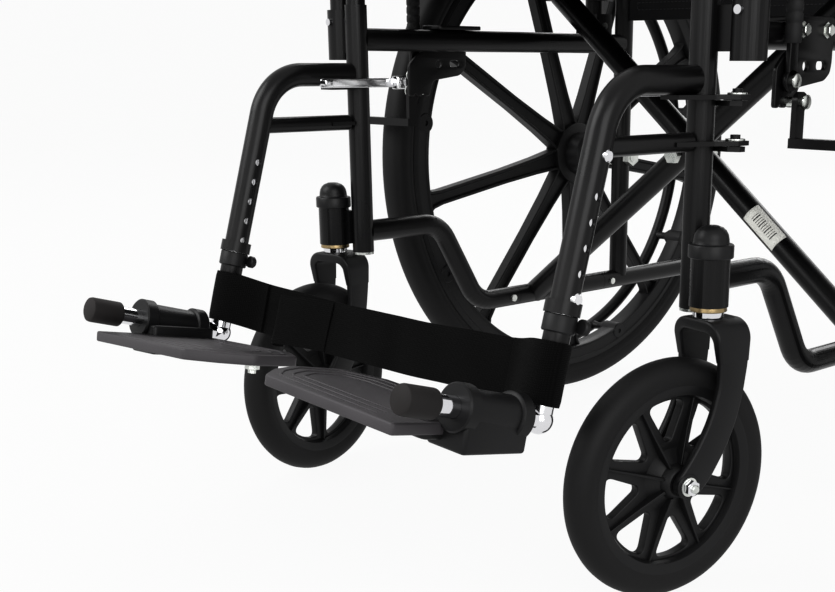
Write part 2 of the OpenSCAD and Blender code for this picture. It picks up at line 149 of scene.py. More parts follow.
paint = grained("framePaint", (0.0028, 0.0028, 0.0031), (0.0054, 0.0051, 0.0054), (0.26, 0.35), 1800,
                0.00006, Specular_IOR_Level=0.34)
chrome = grained("chromeTube", (0.72, 0.72, 0.74), (0.80, 0.80, 0.81), (0.07, 0.14), 60, 0.00002,
                 metallic=1.0)
zinc = grained("zincSteel", (0.55, 0.57, 0.55), (0.74, 0.75, 0.72), (0.22, 0.38), 900, 0.00005,
               metallic=1.0, patch=120)
brass = grained("brassRing", (0.30, 0.23, 0.13), (0.42, 0.33, 0.19), (0.25, 0.4), 500, 0.00004,
                metallic=1.0)
plastic = grained("mouldedPlastic", (0.0055, 0.0055, 0.0060), (0.0105, 0.0105, 0.0110), (0.36, 0.48), 2600,
                  0.00008, Specular_IOR_Level=0.32)
plateStock = grained("plateComposite", (0.0420, 0.0395, 0.0425), (0.0620, 0.0580, 0.0620), (0.42, 0.56),
                     1500, 0.00012, Specular_IOR_Level=0.36)
tyreRubber = grained("tyreRubber", (0.0055, 0.0055, 0.0058), (0.0105, 0.0102, 0.0105), (0.52, 0.66), 1400,
                     0.00010, Specular_IOR_Level=0.30)
capRubber = grained("capRubber", (0.0110, 0.0100, 0.0100), (0.0230, 0.0200, 0.0195), (0.6, 0.75), 900,
                    0.00014, Specular_IOR_Level=0.34)
gripVinyl = grained("gripVinyl", (0.0100, 0.0100, 0.0105), (0.0180, 0.0180, 0.0185), (0.5, 0.65), 1100,
                    0.00012, Specular_IOR_Level=0.32)
padVinyl = grained("padVinyl", (0.0080, 0.0080, 0.0085), (0.0160, 0.0155, 0.0160), (0.42, 0.55), 420,
                   0.0003, Specular_IOR_Level=0.36)
seatNylon = woven("seatNylon", (0.0045, 0.0045, 0.0050), (0.0140, 0.0140, 0.0150), 260, 0.0003,
                  Sheen_Weight=0.08, Specular_IOR_Level=0.2)
webbing = woven("strapWebbing", (0.0005, 0.0005, 0.0005), (0.0034, 0.0034, 0.0034), 190, 0.0006,
                Sheen_Weight=0.02, Sheen_Roughness=0.6, Specular_IOR_Level=0.08)

slotMaterials = {
    "frame_paint": paint, "zinc_steel": zinc, "chrome_tube": chrome, "black_plastic": plastic,
    "tyre_rubber": tyreRubber, "cap_rubber": capRubber, "grip_vinyl": gripVinyl, "pad_vinyl": padVinyl,
    "seat_nylon": seatNylon, "strap_webbing": webbing,
}
# the CAD nodes that stay visible take the same finishes
for part in frame["record"]["subparts"]:
    cadPiece = frame["nodes"][part["node"]]
    for place in cadPiece.material_slots:
        place.material = slotMaterials[part["material_slot"]]
print("materials ready")

camera = {"azimuth": 45.37, "pitch": 16.88, "roll": 0.17, "spot": (0.8469, -1.0254, 0.4242),
          "lens": 54.24, "shift": (-0.1196, 0.1762)}  # degrees, metres, mm of lens


def setCamera(c):
    azimuth, pitch, roll = (math.radians(c[key]) for key in ("azimuth", "pitch", "roll"))
    right = Vector((math.cos(azimuth), math.sin(azimuth), 0))
    ahead = Vector((-math.sin(azimuth) * math.cos(pitch), math.cos(azimuth) * math.cos(pitch),
                    -math.sin(pitch)))
    up = right.cross(ahead)
    data = bpy.data.cameras.new("camera")
    data.sensor_width = 36
    data.lens = c["lens"]
    data.shift_x, data.shift_y = c["shift"]
    data.clip_start = 0.05
    made = bpy.data.objects.new("camera", data)
    turned = math.cos(roll) * right + math.sin(roll) * up
    upright = math.cos(roll) * up - math.sin(roll) * right
    made.matrix_world = Matrix.LocRotScale(
        Vector(c["spot"]), Matrix((turned, upright, -ahead)).transposed().to_quaternion(), None)
    bpy.context.scene.collection.objects.link(made)
    bpy.context.scene.camera = made


setCamera(camera)

studio = {
    "key": {"spot": (-1.6, -2.6, 2.6), "size": 2.6, "watts": 95},
    "fill": {"spot": (2.8, -1.6, 1.6), "size": 2.4, "watts": 60},
    "back": {"spot": (-1.2, 2.8, 2.4), "size": 2.6, "watts": 70},
    "low": {"spot": (0.6, -3.0, 0.5), "size": 1.8, "watts": 14},
}
lampAim = Vector((0, 0, 0.35))
for name, lamp in studio.items():
    light = bpy.data.lights.new(name, "AREA")
    light.size = lamp["size"]
    light.energy = lamp["watts"]
    lampObject = bpy.data.objects.new(name, light)
    lampObject.location = lamp["spot"]
    lampObject.rotation_euler = (lampAim - Vector(lamp["spot"])).to_track_quat("-Z", "Y").to_euler()
    bpy.context.scene.collection.objects.link(lampObject)

world = bpy.data.worlds.new("studio")
world.use_nodes = True
world.node_tree.nodes["Background"].inputs["Color"].default_value = (1, 1, 1, 1)
world.node_tree.nodes["Background"].inputs["Strength"].default_value = 0.97
bpy.context.scene.world = world
bpy.context.scene.view_settings.view_transform = "Standard"
bpy.context.scene.view_settings.gamma = 0.76

reach = 9  # half the floor's side, in metres
floorMesh = bpy.data.meshes.new("floor")
floorMesh.from_pydata([(-reach, -reach, 0), (reach, -reach, 0), (reach, reach, 0), (-reach, reach, 0)], [],
                      [(0, 1, 2, 3)])
floor = bpy.data.objects.new("floor", floorMesh)
bpy.context.scene.collection.objects.link(floor)
paper = newMaterial("floorPaper", (0.02, 0.02, 0.02), 1.0, Specular_IOR_Level=0.0, Emission_Strength=0.95)
paper.node_tree.nodes["Principled BSDF"].inputs["Emission Color"].default_value = (1, 1, 1, 1)
floorMesh.materials.append(paper)
print("camera, lights and floor ready")


def addMesh(name, verts, faces, material):
    mesh = bpy.data.meshes.new(name)
    mesh.from_pydata([tuple(v) for v in verts], [], faces)
    made = bpy.data.objects.new(name, mesh)
    bpy.context.scene.collection.objects.link(made)
    shape = bmesh.new()
    shape.from_mesh(mesh)
    bmesh.ops.remove_doubles(shape, verts=shape.verts, dist=0.000005)
    bmesh.ops.dissolve_degenerate(shape, edges=shape.edges, dist=0.000002)
    bmesh.ops.recalc_face_normals(shape, faces=shape.faces)
    shape.to_mesh(mesh)
    shape.free()
    mesh.materials.append(material)
    mesh.polygons.foreach_set("use_smooth", [True] * len(mesh.polygons))
    mesh.set_sharp_from_angle(angle=math.radians(38))
    return made


def soften(piece, width, segments=2, angle=35):
    bevel = piece.modifiers.new("edges", "BEVEL")
    bevel.width = width
    bevel.segments = segments
    bevel.limit_method = "ANGLE"
    bevel.angle_limit = math.radians(angle)
    bevel.harden_normals = True
    return piece


# one mesh from several, with their modifiers applied and their finishes kept
def joinPieces(name, pieces):
    depsgraph = bpy.context.evaluated_depsgraph_get()
    shape = bmesh.new()
    materials = []
    for piece in pieces:
        mesh = bpy.data.meshes.new_from_object(piece.evaluated_get(depsgraph))
        mesh.transform(piece.matrix_world)
        for m in mesh.materials:
            if m not in materials:
                materials.append(m)
        order = [materials.index(m) for m in mesh.materials]
        for polygon in mesh.polygons:
            polygon.material_index = order[polygon.material_index]
        shape.from_mesh(mesh)
        bpy.data.objects.remove(piece)
    mesh = bpy.data.meshes.new(name)
    shape.to_mesh(mesh)
    shape.free()
    for m in materials:
        mesh.materials.append(m)
    made = bpy.data.objects.new(name, mesh)
    bpy.context.scene.collection.objects.link(made)
    return made


# turns a profile of (radius, way along the axis) about the axis
def lathe(name, profile, centre, axis, material, steps=96, closed=True):
    along = Vector(axis).normalized()
    side = Vector((0, 0, 1)) if abs(along.z) < 0.5 else Vector((1, 0, 0))
    side = (side - along * side.dot(along)).normalized()
    other = along.cross(side)
    verts, faces = [], []
    count = len(profile)
    for i in range(steps):
        angle = 2 * math.pi * i / steps
        out = side * math.cos(angle) + other * math.sin(angle)
        verts += [Vector(centre) + out * radius + along * way for radius, way in profile]
    for i in range(steps):
        j = (i + 1) % steps
        for k in range(count if closed else count - 1):
            m = (k + 1) % count
            faces.append((i * count + k, i * count + m, j * count + m, j * count + k))
    return addMesh(name, verts, faces, material)


# a round or flattened section along a line of points
def sweep(name, points, radius, material, sides=18, flat=1.0, up=(1, 0, 0)):
    points = [Vector(p) for p in points]
    radii = radius if isinstance(radius, list) else [radius] * len(points)
    verts, faces = [], []
    for i, point in enumerate(points):
        way = (points[min(i + 1, len(points) - 1)] - points[max(i - 1, 0)]).normalized()
        across = Vector(up)
        across = (across - way * across.dot(way)).normalized()
        other = way.cross(across)
        for k in range(sides):
            angle = 2 * math.pi * k / sides
            verts.append(point + (across * math.cos(angle) * flat + other * math.sin(angle)) * radii[i])
    for i in range(len(points) - 1):
        for k in range(sides):
            m = (k + 1) % sides
            faces.append((i * sides + k, i * sides + m, (i + 1) * sides + m, (i + 1) * sides + k))
    last = (len(points) - 1) * sides
    faces.append(tuple(range(sides)))
    faces.append(tuple(reversed(range(last, last + sides))))
    return addMesh(name, verts, faces, material)


def roundedLoop(points, radius, steps=6):
    loop = []
    count = len(points)
    for i in range(count):
        a, b, c = (Vector(points[(i + d) % count]) for d in (-1, 0, 1))
        reach = min(radius, (a - b).length * 0.48, (c - b).length * 0.48)
        start, end = b + (a - b).normalized() * reach, b + (c - b).normalized() * reach
        for k in range(steps + 1):
            t = k / steps
            loop.append((1 - t) ** 2 * start + 2 * t * (1 - t) * b + t * t * end)
    return loop


def openRound(points, radius, steps=6):
    out = [Vector(points[0])]
    for a, b, c in zip(points, points[1:], points[2:]):
        a, b, c = Vector(a), Vector(b), Vector(c)
        reach = min(radius, (a - b).length * 0.48, (c - b).length * 0.48)
        start, end = b + (a - b).normalized() * reach, b + (c - b).normalized() * reach
        for k in range(steps + 1):
            t = k / steps
            out.append((1 - t) ** 2 * start + 2 * t * (1 - t) * b + t ** 2 * end)
    out.append(Vector(points[-1]))
    return out


# a flat plate with rounded edges; the first loop is its outline, the others are holes
def flatPart(name, loops, thickness, bevel, place, material):
    curve = bpy.data.curves.new(name, "CURVE")
    curve.dimensions = "2D"
    curve.fill_mode = "BOTH"
    curve.extrude = max(thickness / 2 - bevel, 0.00005)
    curve.bevel_depth = bevel
    curve.bevel_resolution = 2
    curve.offset = -bevel
    for loop in loops:
        spline = curve.splines.new("POLY")
        spline.points.add(len(loop) - 1)
        for point, corner in zip(spline.points, loop):
            point.co = (corner[0], corner[1], 0, 1)
        spline.use_cyclic_u = True
    holder = bpy.data.objects.new(name, curve)
    bpy.context.scene.collection.objects.link(holder)
    depsgraph = bpy.context.evaluated_depsgraph_get()
    mesh = bpy.data.meshes.new_from_object(holder.evaluated_get(depsgraph))
    bpy.data.objects.remove(holder)
    mesh.transform(place)
    mesh.materials.clear()
    verts = [v.co.copy() for v in mesh.vertices]
    faces = [tuple(p.vertices) for p in mesh.polygons]
    return addMesh(name, verts, faces, material)


# lays a flat shape of (y, z) into the plane across the axle
def wheelPlane(centre):
    return Matrix(((0, 0, 1, centre[0]), (1, 0, 0, centre[1]), (0, 1, 0, centre[2]), (0, 0, 0, 1)))


def circleLoop(radius, steps=96, centre=(0, 0)):
    return [(centre[0] + radius * math.cos(2 * math.pi * k / steps),
             centre[1] + radius * math.sin(2 * math.pi * k / steps)) for k in range(steps)]


def polar(radius, angle):
    return (radius * math.cos(angle), radius * math.sin(angle))


def windowLoop(middle, half, inner, outer, edgeIn, edgeOut, corner, arcs):
    insideTurn = math.asin(min(0.98, edgeIn / inner))
    outsideTurn = math.asin(edgeOut / outer)
    points = [polar(inner, middle - half + insideTurn), polar(outer, middle - half + outsideTurn)]
    for k in range(1, arcs):
        reach = half - outsideTurn
        points.append(polar(outer, middle - reach + 2 * reach * k / arcs))
    points += [polar(outer, middle + half - outsideTurn), polar(inner, middle + half - insideTurn)]
    return roundedLoop(points, corner)


# everything is made on the left, and mirrored for the right
def settle(piece, side, body, slotName, *nodes):
    if side == "right":
        piece.data.transform(Matrix.Diagonal((-1, 1, 1, 1)))
        piece.data.flip_normals()
    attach(piece, side + "_" + body)
    if nodes:
        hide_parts(*(side + "_" + name for name in nodes))


frontPost = at("left_wheel_spin").y - 0.412  # the front post's centre line
sideX = 0.219  # the side frames' centre lines


# millimetres from the middle, the front post and the floor
def spot(x, y, z):
    return Vector((x / 1000, y / 1000 + frontPost, z / 1000))


slopeTop, slopeEnd, footCorner = (-107, 411), (-157, 246), (-180, 170)  # the hanger tube's slope and foot
slope = math.atan2(slopeTop[1] - slopeEnd[1], slopeTop[0] - slopeEnd[0])
footTilt = math.pi / 2 - slope


def onSlope(d, x=sideX * 1000):
    return spot(x, slopeEnd[0] + d * math.cos(slope), slopeEnd[1] + d * math.sin(slope))


def onPivot(d, x=sideX * 1000):
    return spot(x, footCorner[0] - d * math.cos(footTilt), footCorner[1] + d * math.sin(footTilt))


caster = {"axle": (0, -0.037, 0.1), "tyre": 0.100, "rimOut": 0.080, "rimIn": 0.069, "spokes": 8,
          "tyreHalf": 0.0145, "rimHalf": 0.0125, "ribHeight": 0.007}


def tyreProfile(outer, inner, half):
    profile = []
    for k in range(13):
        angle = math.pi * (k / 12 - 0.5)
        profile.append((outer - half * 0.92 + half * 0.92 * math.cos(angle), half * math.sin(angle)))
    profile += [(inner + 0.004, half * 0.96), (inner, half * 0.86), (inner, -half * 0.86),
                (inner + 0.004, -half * 0.96)]
    return profile


# the swivel's place at rest, turned as the caster stands
def casterPlace():
    stem = at("left_swivel")
    turn = joints["left_caster_spin"]["axis"]
    return Matrix.Translation((stem.x, stem.y, 0)) @ Matrix.Rotation(math.atan2(turn[1], turn[0]), 4, "Z")


def makeCasterWheel(side):
    c = caster
    hub = Vector(c["axle"])
    rimShape = [(c["rimOut"], c["rimHalf"]), (c["rimOut"] - 0.003, c["rimHalf"]),
                (c["rimIn"] + 0.002, c["rimHalf"] - 0.002), (c["rimIn"], c["rimHalf"] - 0.006),
                (c["rimIn"], -c["rimHalf"] + 0.006), (c["rimIn"] + 0.002, -c["rimHalf"] + 0.002),
                (c["rimOut"] - 0.003, -c["rimHalf"]), (c["rimOut"], -c["rimHalf"])]
    parts = [lathe("rim", rimShape, hub, (1, 0, 0), plastic)]
    half = math.pi / c["spokes"]
    turn = math.radians(-17) if side == "left" else 0
    windows = [windowLoop(2 * half * k + half + turn, half, 0.033, 0.0672, 0.0100, 0.0066, 0.0085, 2)
               for k in range(c["spokes"])]
    parts.append(flatPart("web", [circleLoop(c["rimIn"] + 0.004)] + windows, 0.009, 0.0012,
                          wheelPlane(hub), plastic))
    for k in range(c["spokes"]):
        for face in (-1, 1):
            parts.append(makeRib(hub, 2 * half * k + turn, face, 0.014, c["rimIn"] + 0.003, 0.0028,
                                 c["ribHeight"] + 0.007, c["ribHeight"], plastic))
    hubShape = [(0.0054, 0.0178), (0.011, 0.0178), (0.0125, 0.0165), (0.0150, 0.010), (0.024, 0.0048),
                (0.030, 0.004), (0.030, -0.004), (0.024, -0.0048), (0.0150, -0.010), (0.0125, -0.0165),
                (0.011, -0.0178), (0.0054, -0.0178)]
    parts.append(lathe("hub", hubShape, hub, (1, 0, 0), plastic, 64))
    wheel = joinPieces(side + "CasterWheel", parts)
    wheel.data.transform(casterPlace())
    settle(wheel, side, "caster_body", "black_plastic", "caster_wheel")
    tyre = lathe(side + "CasterTyre", tyreProfile(c["tyre"], c["rimOut"] - 0.001, c["tyreHalf"]), hub,
                 (1, 0, 0), tyreRubber, 128)
    tyre.data.transform(casterPlace())
    settle(tyre, side, "caster_body", "tyre_rubber", "caster_tyre")


def makeRib(hub, angle, face, inner, outer, width, highIn, highOut, material):
    out = Vector((0, math.cos(angle), math.sin(angle)))
    across = Vector((0, -math.sin(angle), math.cos(angle)))
    proud = Vector((face, 0, 0))
    verts = []
    stations = ((inner, highIn, width * 1.5), ((inner + outer) / 2, (highIn + 2 * highOut) / 3, width),
                (outer, highOut, width))
    for reach, high, wide in stations:
        for sign, level, narrow in ((-1, 0, 1), (-1, high, 0.62), (1, high, 0.62), (1, 0, 1)):
            verts.append(hub + out * reach + across * sign * wide / 2 * narrow + proud * (level + 0.0002))
    faces = [(0, 1, 2, 3), (8, 11, 10, 9)]
    for ring in (0, 4):
        faces += [(ring + k, ring + (k + 1) % 4, ring + 4 + (k + 1) % 4, ring + 4 + k) for k in range(4)]
    rib = addMesh("rib", verts, faces, material)
    return soften(rib, 0.0006)


legX = 0.0234
forkLeg = [(22.0, 208), (22.0, 194), (17, 160), (6, 130), (-14, 100), (-26, 89.5), (-37, 89.2),
           (-47.5, 96), (-47, 106), (-31, 124), (-15, 150), (-7, 178), (-7.4, 194), (-7.4, 208)]
crown = {"half": legX, "foot": 0.196, "spring": 0.2125, "bend": 0.0117, "leg": 0.0072, "top": 0.0098}


# the arch over the wheel, from one leg to the other
def makeCrown():
    c = crown
    line = [(Vector((c["half"], c["foot"])), Vector((1, 0)))]
    for k in range(13):
        angle = math.pi / 2 * k / 12
        out = Vector((math.cos(angle), math.sin(angle)))
        line.append((Vector((c["half"] - c["bend"], c["spring"])) + out * c["bend"], out))
    line.append((Vector((0, c["spring"] + c["bend"])), Vector((0, 1))))
    line += [(Vector((-p.x, p.y)), Vector((-n.x, n.y))) for p, n in reversed(line[:-1])]
    verts, faces = [], []
    ring = 0
    for p, n in line:
        rise = max(0.0, (p.y - c["foot"]) / (c["spring"] + c["bend"] - c["foot"]))
        thick = c["leg"] + (c["top"] - c["leg"]) * rise
        middle, deep = 0.0073 - 0.0030 * rise, 0.0152 + 0.0030 * rise
        outline = roundedLoop([(-thick / 2, middle - deep), (thick / 2, middle - deep),
                               (thick / 2, middle + deep), (-thick / 2, middle + deep)], 0.0026, 4)
        ring = len(outline)
        for off, y in outline:
            edge = p + n * off
            verts.append(Vector((edge.x, y, edge.y)))
    for i in range(len(line) - 1):
        for k in range(ring):
            a, b = i * ring, (i + 1) * ring
            faces.append((a + k, a + (k + 1) % ring, b + (k + 1) % ring, b + k))
    faces += [tuple(range(ring)), tuple(range((len(line) - 1) * ring, len(line) * ring))]
    return addMesh("crown", verts, faces, plastic)


def makeFork(side):
    axle = caster["axle"]
    parts = []
    for x in (-legX, legX):
        loop = roundedLoop([(y / 1000, z / 1000) for y, z in forkLeg], 0.018, 6)
        parts.append(flatPart("leg", [loop], 0.0070, 0.0024, wheelPlane((x, 0, 0)), plastic))
        boss = [(0.0055, -0.0034), (0.0098, -0.0034), (0.0106, -0.0024), (0.0106, 0.0036),
                (0.0098, 0.0044), (0.0055, 0.0044)]
        parts.append(lathe("boss", boss, (x, *axle[1:]), (math.copysign(1, x), 0, 0), plastic, 48))
    parts.append(makeCrown())
    fork = joinPieces(side + "CasterFork", parts)
    fork.data.transform(casterPlace())
    settle(fork, side, "caster_swivel", "black_plastic", "caster_fork")
    nutShape = [(0.0030, 0.2288), (0.0115, 0.2288), (0.0125, 0.2298), (0.0126, 0.2338), (0.0030, 0.2340)]
    nut = lathe(side + "StemNut", nutShape, (0, 0, 0), (0, 0, 1), chrome, 48)
    nut.data.transform(casterPlace())
    settle(nut, side, "caster_swivel", "zinc_steel")
    for face in (-1, 1):
        washer = [(0.0050, 0.0279), (0.0078, 0.0279), (0.0080, 0.0283), (0.0078, 0.0290), (0.0050, 0.0290)]
        hexNut = [(0.0034, 0.0290), (0.0056, 0.0290), (0.0066, 0.0294), (0.0066, 0.0338), (0.0056, 0.0344),
                  (0.0034, 0.0344)]
        stud = [(0, 0.0280), (0.0036, 0.0280), (0.0036, 0.0362), (0.0028, 0.0372), (0, 0.0373)]
        bits = [lathe("washer", washer, axle, (face, 0, 0), zinc, 40),
                lathe("hexNut", hexNut, axle, (face, 0, 0), chrome, 6),
                lathe("stud", stud, axle, (face, 0, 0), zinc, 24, closed=False)]
        if face < 0:
            rod = [(0, -0.0275), (0.0050, -0.0275), (0.0050, 0.0275), (0, 0.0275)]
            bits.append(lathe("rod", rod, axle, (1, 0, 0), zinc, 32, closed=False))
        made = joinPieces(side + "CasterAxle" + ("Inner" if face < 0 else "Outer"), bits)
        made.data.transform(casterPlace())
        if face < 0:
            settle(made, side, "caster_swivel", "zinc_steel", "caster_axle")
        else:
            settle(made, side, "caster_swivel", "zinc_steel")


def makeStemCap(side):
    stem = at("left_swivel")
    shape = [(0, 0.2822), (0.0158, 0.2822), (0.0159, 0.2766), (0.0176, 0.2766), (0.0181, 0.2772),
             (0.0181, 0.2862), (0.0174, 0.2872), (0.0150, 0.2876), (0.0143, 0.2884), (0.0141, 0.2912),
             (0.0133, 0.2948), (0.0115, 0.2980), (0.0090, 0.3001), (0.0064, 0.3010), (0.0058, 0.3014),
             (0.0052, 0.3016), (0, 0.3016)]
    cap = lathe(side + "StemCap", shape, (stem.x, stem.y, 0), (0, 0, 1), plastic, 64, closed=False)
    settle(cap, side, "side", "black_plastic", "stem_cap")
    ringShape = [(0.0068, 0.2342), (0.0146, 0.2342), (0.0150, 0.2346), (0.0150, 0.2352), (0.0146, 0.2379),
                 (0.0068, 0.2379)]
    ring = lathe(side + "StemRing", ringShape, (stem.x, stem.y, 0), (0, 0, 1), brass, 64)
    settle(ring, side, "side", "zinc_steel")


for side in sides:
    makeCasterWheel(side)
    makeFork(side)
    makeStemCap(side)
print("casters ready")

wheel = {"spokes": 9, "bosses": 0.264, "ring": 0.262, "ringOut": 0.040, "ringTube": 0.008}


def outward(angle):
    return Vector((0, math.sin(angle), -math.cos(angle)))


def makeSpoke(hub, angle):
    out = outward(angle)
    across = Vector((0, math.cos(angle), math.sin(angle)))
    # how far out, half the width and half the depth
    stations = [(0.026, 0.0150, 0.0090), (0.040, 0.0125, 0.0080), (0.075, 0.0105, 0.0072),
                (0.130, 0.0090, 0.0068), (0.235, 0.0088, 0.0068), (0.250, 0.0105, 0.0072),
                (0.2585, 0.0150, 0.0085)]
    verts, faces = [], []
    for reach, wide, deep in stations:
        section = [(-wide, deep), (-wide + 0.0030, deep), (-wide + 0.0045, deep * 0.45),
                   (wide - 0.0045, deep * 0.45), (wide - 0.0030, deep), (wide, deep)]
        section += [(t, -d) for t, d in reversed(section)]
        verts += [hub + out * reach + across * t + Vector((d, 0, 0)) for t, d in section]
    for k in range(len(stations) - 1):
        faces += [(k * 12 + m, k * 12 + (m + 1) % 12, (k + 1) * 12 + (m + 1) % 12,
                   (k + 1) * 12 + m) for m in range(12)]
    last = (len(stations) - 1) * 12
    faces += [tuple(range(12)), tuple(reversed(range(last, last + 12)))]
    return soften(addMesh("spoke", verts, faces, plastic), 0.0009)


def makeRearWheel(side):
    w = wheel
    hub = at("left_wheel_spin")
    half = [(0.2805, 0.0100), (0.2802, 0.0122), (0.2780, 0.0128), (0.2735, 0.0128), (0.2722, 0.0112),
            (0.2600, 0.0104), (0.2585, 0.0120), (0.2570, 0.0118), (0.2560, 0.0100)]
    rimShape = half + [(r, -d) for r, d in reversed(half)]
    parts = [lathe("rim", rimShape, hub, (1, 0, 0), plastic, 192)]
    hubShape = [(0.0064, 0.0220), (0.0180, 0.0220), (0.0200, 0.0205), (0.0250, 0.0200), (0.0260, 0.0190),
                (0.0265, 0.0125), (0.0365, 0.0118), (0.0380, 0.0105), (0.0380, -0.0105), (0.0365, -0.0118),
                (0.0265, -0.0125), (0.0255, -0.0300), (0.0240, -0.0330), (0.0215, -0.0345),
                (0.0200, -0.0390), (0.0185, -0.0400), (0.0064, -0.0400)]
    parts.append(lathe("hub", hubShape, hub, (1, 0, 0), plastic, 96))
    for k in range(w["spokes"]):
        turn = 2 * math.pi * k / w["spokes"]
        parts.append(makeSpoke(hub, turn))
        bossAt = hub + outward(turn + math.pi / w["spokes"]) * w["bosses"]
        bossShape = [(0.0030, -0.0120), (0.0100, -0.0120), (0.0112, -0.0110), (0.0112, 0.0130),
                     (0.0100, 0.0158), (0.0030, 0.0158)]
        parts.append(lathe("boss", bossShape, bossAt, (1, 0, 0), plastic, 32))
    made = joinPieces(side + "RearWheel", parts)
    settle(made, side, "wheel", "black_plastic", "rear_wheel")
    profile = []
    for k in range(-9, 10):
        angle = math.pi * k / 18
        profile.append((0.2945 + 0.0155 * math.cos(angle) ** 0.8,
                        0.0168 * math.copysign(abs(math.sin(angle)) ** 0.9, k)))
    profile += [(0.2900, 0.0164), (0.2885, 0.0158), (0.2870, 0.0162), (0.2835, 0.0150), (0.2815, 0.0125),
                (0.2803, 0.0118), (0.2803, -0.0118), (0.2815, -0.0125), (0.2835, -0.0150),
                (0.2870, -0.0162), (0.2885, -0.0158), (0.2900, -0.0164)]
    tyre = lathe(side + "RearTyre", profile, hub, (1, 0, 0), tyreRubber, 224)
    settle(tyre, side, "wheel", "tyre_rubber", "rear_tyre")
    circle = [(w["ring"] + w["ringTube"] * math.cos(math.pi * k / 10),
               w["ringOut"] + w["ringTube"] * math.sin(math.pi * k / 10)) for k in range(20)]
    parts = [lathe("ring", circle, hub, (1, 0, 0), plastic, 192)]
    for k in range(w["spokes"]):
        stub = hub + outward(2 * math.pi * (k + 0.5) / w["spokes"]) * w["ring"]
        stubShape = [(0, 0.0157), (0.0075, 0.0157), (0.0066, 0.0190), (0.0050, 0.0220), (0.0050, 0.0290),
                     (0.0062, 0.0345), (0, 0.0360)]
        parts.append(lathe("stub", stubShape, stub, (1, 0, 0), plastic, 24, closed=False))
    ring = joinPieces(side + "Handrim", parts)
    settle(ring, side, "wheel", "black_plastic", "handrim")
    dust = [(0, 0.0222), (0.0168, 0.0222), (0.0175, 0.0230), (0.0172, 0.0238), (0.0130, 0.0242),
            (0, 0.0242)]
    settle(lathe(side + "DustCap", dust, hub, (1, 0, 0), zinc, 48, closed=False), side, "wheel",
           "zinc_steel")


for side in sides:
    makeRearWheel(side)
print("rear wheels ready")

# millimetres in the plate's own plane, from the foot tube
plate = {"outline": [(-9, 34), (-150, 34), (-188, 14), (-194, -30), (-180, -58), (-160, -79), (-9, -79)],
         "low": -19, "high": -10, "corner": 0.0035, "ribs": 3, "ribGap": 10.0, "up": 54, "roll": 3,
         "pitch": -11}


def platePlace():
    p = plate
    lean = Matrix.Rotation(math.radians(p["roll"]), 4, "Y") @ Matrix.Rotation(math.radians(p["pitch"]),
            4, "X")
    return Matrix.Translation(onPivot(p["up"])) @ lean


def makeFootplate(side):
    p = plate
    place = platePlace()
    loop = roundedLoop([(x / 1000, y / 1000) for x, y in p["outline"]], p["corner"], 6)
    middle = (p["low"] + p["high"]) / 2000
    board = flatPart("board", [loop], (p["high"] - p["low"]) / 1000, 0.0016,
                     place @ Matrix.Translation((0, 0, middle)), plateStock)
    parts = [board]
    for k in range(p["ribs"]):
        d = 10 + p["ribGap"] * k
        path = [(-40, 34 - d), (-149 + d * 0.30, 34 - d), (-189 + d, 13 - d * 0.55), (-195 + d, -30),
                (-181 + d * 0.9, -57 + d * 0.30), (-161 + d * 0.42, -78 + d), (-40, -78 + d)]
        smooth = openRound([(x / 1000, y / 1000) for x, y in path], 0.004)
        line = [place @ Vector((x, y, p["high"] / 1000 - 0.0001)) for x, y in smooth]
        parts.append(sweep("rib", line, [0.0005] + [0.0012] * (len(line) - 2) + [0.0005], plateStock, 8,
                           flat=0.8, up=place.to_3x3() @ Vector((0, 0, 1))))
    made = joinPieces(side + "Footplate", parts)
    settle(made, side, "plate", "black_plastic", "footplate")
    pivot = onPivot(0)
    along = (onPivot(10) - pivot).normalized()
    sleeve = [(0.0081, 0.0221), (0.0168, 0.0221), (0.0180, 0.0233), (0.0180, 0.0330), (0.0170, 0.0340),
              (0.0152, 0.0344), (0.0152, 0.0756), (0.0170, 0.0760), (0.0180, 0.0770), (0.0180, 0.0868),
              (0.0168, 0.0880), (0.0081, 0.0880)]
    parts = [lathe("sleeve", sleeve, pivot, along, plastic, 72)]
    block = roundedLoop([(-0.026, -0.0315), (0.0140, -0.0315), (0.0140, 0.0315), (-0.026, 0.0315)],
                        0.004, 4)
    parts.append(flatPart("block", [block], 0.0270, 0.0025, place @ Matrix.Translation((0, 0, -0.0145)),
                          plastic))
    step = roundedLoop([(-0.050, -0.048), (-0.010, -0.048), (-0.010, 0.033), (-0.050, 0.033)], 0.008, 4)
    parts.append(flatPart("step", [step], 0.0130, 0.0025, place @ Matrix.Translation((0, 0, -0.0165)),
                          plastic))
    casting = joinPieces(side + "PlateCasting", parts)
    settle(casting, side, "plate", "black_plastic")
    nut = place @ Vector((-0.176, -0.022, -0.0188))
    down = place.to_3x3() @ Vector((0, 0, -1))
    nutShape = [(0, 0), (0.0062, 0), (0.0062, 0.0045), (0.0034, 0.0052), (0.0034, 0.0080), (0, 0.0084)]
    settle(lathe(side + "PlateNut", nutShape, nut, down, zinc, 6, closed=False), side, "plate",
           "zinc_steel")
    capShape = [(0.0080, 0.1080), (0.0104, 0.1080), (0.0111, 0.1088), (0.0112, 0.1100), (0.0112, 0.1350),
                (0.0107, 0.1370), (0.0092, 0.1380), (0, 0.1382), (0, 0.1285), (0.0080, 0.1283)]
    cap = lathe(side + "FootTubeCap", capShape, pivot, along, capRubber, 64)
    settle(cap, side, "foot_tube", "cap_rubber", "foot_tube_cap")


